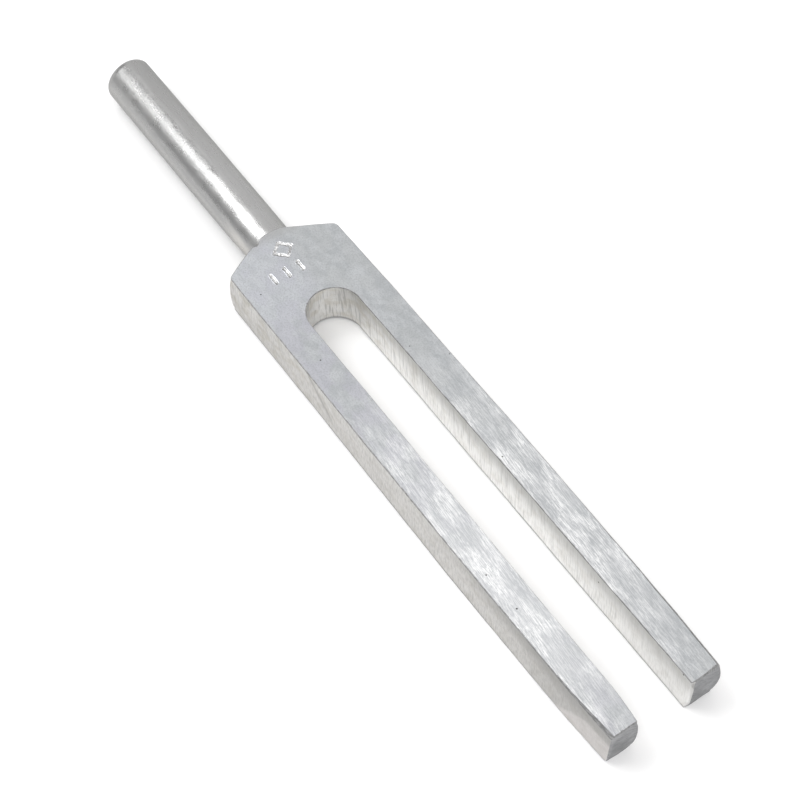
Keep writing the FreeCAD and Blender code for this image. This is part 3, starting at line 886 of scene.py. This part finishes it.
def polished_face(name):
    """The stem: turned and polished, pitted most at the foot, with painted shade on its +Y side and
    its dark band, a painted dimming of its highlight, and painted reflections low on its -Y side.
    """
    polish = (0.45, 0.45, 0.447)
    s = Shader(name, polish, 0.26)
    pits = s.noise((0.25, 0.17, 0.17), 2.0, 0.6)
    swells = s.noise((3.5, 1.2, 1.2), 2.0, 0.5)
    lines = s.noise((7.0, 0.25, 0.25), 2.0, 0.5)
    colour = s.mix(s.ramp(pits, 0.52, 0.72), polish, (0.38, 0.38, 0.375))
    turned = s.product(s.ramp(lines, 0.45, 0.7), 0.25)
    colour = s.mix(turned, colour, (0.35, 0.35, 0.35))
    # Painted shade: the +Y side drawn a dark, faintly olive grey.
    painted_shade_plus_y = s.product(s.along("Y", 2.0, 4.9), 0.68)
    colour = s.mix(painted_shade_plus_y, colour, (0.23, 0.23, 0.215))
    at_foot = s.product(s.along("X", -44.0, -84.0), 0.35)
    colour = s.mix(at_foot, colour, (0.30, 0.30, 0.295))
    # Painted shade: the dark band reflected on the -Y side drawn darker, away from the foot.
    painted_lighting_patch = s.product(
        s.along("Y", -2.9, -3.7), s.along("Y", -4.95, -4.55), s.along("X", -80.0, -60.0), 0.7)
    colour = s.mix(painted_lighting_patch, colour, (0.33, 0.33, 0.33))
    # Painted shade over the highlight's band towards the foot, broken up by the pits.
    painted_highlight_dimming = s.product(
        s.along("Y", -2.9, -1.2), s.along("Y", 0.15, -0.75), s.along("X", -43.0, -52.0),
        s.ramp(pits, 0.4, 0.62, 0.3, 0.95))
    colour = s.mix(painted_highlight_dimming, colour, (0.2, 0.2, 0.2))
    # Painted reflection of the white floor, low on the -Y side.
    painted_floor_reflection = s.product(s.along("Y", -4.5, -4.85), 0.3)
    colour = s.mix(painted_floor_reflection, colour, (0.56, 0.555, 0.54))
    # Painted reflection, light and warm, low on the -Y side next to the head.
    painted_reflection_by_head = s.product(s.along("X", -41.0, -33.0), s.along("Y", -3.9, -4.6), 0.6)
    colour = s.mix(painted_reflection_by_head, colour, (0.74, 0.72, 0.68))
    worn = s.ramp(s.axis("X"), -88.0 * MM, -40.0 * MM, 1.0, 0.3)
    relief = s.bump(pits, 0.055, s.bump(swells, 0.05, s.bump(lines, 0.008)), strength=worn)
    return s.finish(colour, s.ramp(swells, 0.3, 0.7, 0.25, 0.35), relief)


def paper_surface():
    """The matt white surface that the fork lies on."""
    s = Shader("white_surface", (0.93, 0.93, 0.93), 0.9)
    s.surface.inputs["Metallic"].default_value = 0.0
    s.surface.inputs["Specular IOR Level"].default_value = 0.0
    return s.material


filed_side = filed_face(
    "filed_side", base=(0.695, 0.685, 0.67), line_size=(0.3, 1.0, 1.6), contrast=0.2,
    tarnish=(0.44, 0.42, 0.36), edge_shade=0.8, shade_from_x=30.0, yoke_shade=0.1,
    score_depth=0.25, painted_facets=True)
sawn_slot = filed_face(
    "sawn_slot", base=(0.99, 0.985, 0.97), line_size=(0.15, 0.15, 4.0), contrast=0.14,
    tarnish=(0.62, 0.59, 0.52), edge_shade=0.6, shade_from_x=-30.0, yoke_shade=0.42,
    score_depth=0.7)
build_head([
    ground_face("ground_upper_face"),
    ground_face("ground_lower_face"),
    filed_side,
    sawn_slot,
    tip_face("filed_tip"),
    # Painted shade on the broken edges and beside the marks.
    plain_face("broken_edge_painted_shade", (0.24, 0.24, 0.24), (0.38, 0.38, 0.38), 0.6),
    plain_face("struck_metal", (0.36, 0.36, 0.36), (0.97, 0.97, 0.97), 0.4),
])
build_stem([polished_face("polished_stem")])


# ---- floor, light and camera ----

def add_floor():
    """A flat white surface, far wider than the view."""
    mesh = bpy.data.meshes.new("floor")
    reach = 5.0
    corners = [(-reach, -reach, 0), (reach, -reach, 0), (reach, reach, 0), (-reach, reach, 0)]
    mesh.from_pydata(corners, [], [(0, 1, 2, 3)])
    mesh.materials.append(paper_surface())
    floor = bpy.data.objects.new("floor", mesh)
    bpy.context.scene.collection.objects.link(floor)


def add_softbox(name, direction, distance, size, power):
    """A white light of this size in metres, facing the fork from a direction."""
    lamp = bpy.data.lights.new(name, "AREA")
    lamp.shape = "RECTANGLE"
    lamp.size, lamp.size_y = size
    lamp.energy = power
    light = bpy.data.objects.new(name, lamp)
    towards = Vector(direction).normalized()
    light.location = towards * distance
    light.rotation_euler = towards.to_track_quat("Z", "Y").to_euler()
    bpy.context.scene.collection.objects.link(light)


def add_world():
    """Even soft light from a pale room, with one darker side low down towards -Y and the stem."""
    world = bpy.data.worlds.new("studio")
    world.use_nodes = True
    bpy.context.scene.world = world
    nodes, links = world.node_tree.nodes, world.node_tree.links
    background = nodes["Background"]
    place = nodes.new("ShaderNodeTexCoord")
    facing = nodes.new("ShaderNodeVectorMath")
    facing.operation = "DOT_PRODUCT"
    links.new(place.outputs["Generated"], facing.inputs[0])
    facing.inputs[1].default_value = Vector((-0.46, -0.86, 0.21)).normalized()
    shade = nodes.new("ShaderNodeMapRange")
    shade.interpolation_type = "SMOOTHSTEP"
    links.new(facing.outputs["Value"], shade.inputs["Value"])
    shade.inputs["From Min"].default_value = 0.45
    shade.inputs["From Max"].default_value = 0.92
    blend = nodes.new("ShaderNodeMix")
    blend.data_type = "RGBA"
    links.new(shade.outputs["Result"], blend.inputs["Factor"])
    blend.inputs[6].default_value = (0.98, 0.975, 0.975, 1)
    blend.inputs[7].default_value = (0.60, 0.60, 0.60, 1)
    links.new(blend.outputs[2], background.inputs["Color"])
    background.inputs["Strength"].default_value = 1.0


def add_camera():
    """A long lens over the fork, off to the tips' side and turned across its length."""
    azimuth, elevation = math.radians(55.10), math.radians(55.80)
    aim = Vector((10.89, 1.99, 0.4)) * MM
    distance = 323.4 * MM
    level = math.cos(elevation)
    back = Vector((math.sin(azimuth) * level, -math.cos(azimuth) * level, math.sin(elevation)))
    data = bpy.data.cameras.new("camera")
    data.sensor_width = 36.0
    data.lens = 78.38
    data.clip_start = 0.01
    camera = bpy.data.objects.new("camera", data)
    camera.location = aim + back * distance
    camera.rotation_euler = (-back).to_track_quat("-Z", "Y").to_euler()
    bpy.context.scene.collection.objects.link(camera)
    bpy.context.scene.camera = camera


add_floor()
add_world()
add_softbox("key_light", (-0.461, -0.35, 0.815), distance=1.0, size=(0.62, 0.52), power=4.4)
add_softbox("fill_light", (0.47, -0.33, 0.82), distance=1.2, size=(0.6, 0.6), power=2.2)
add_camera()
bpy.context.scene.view_settings.view_transform = "Standard"
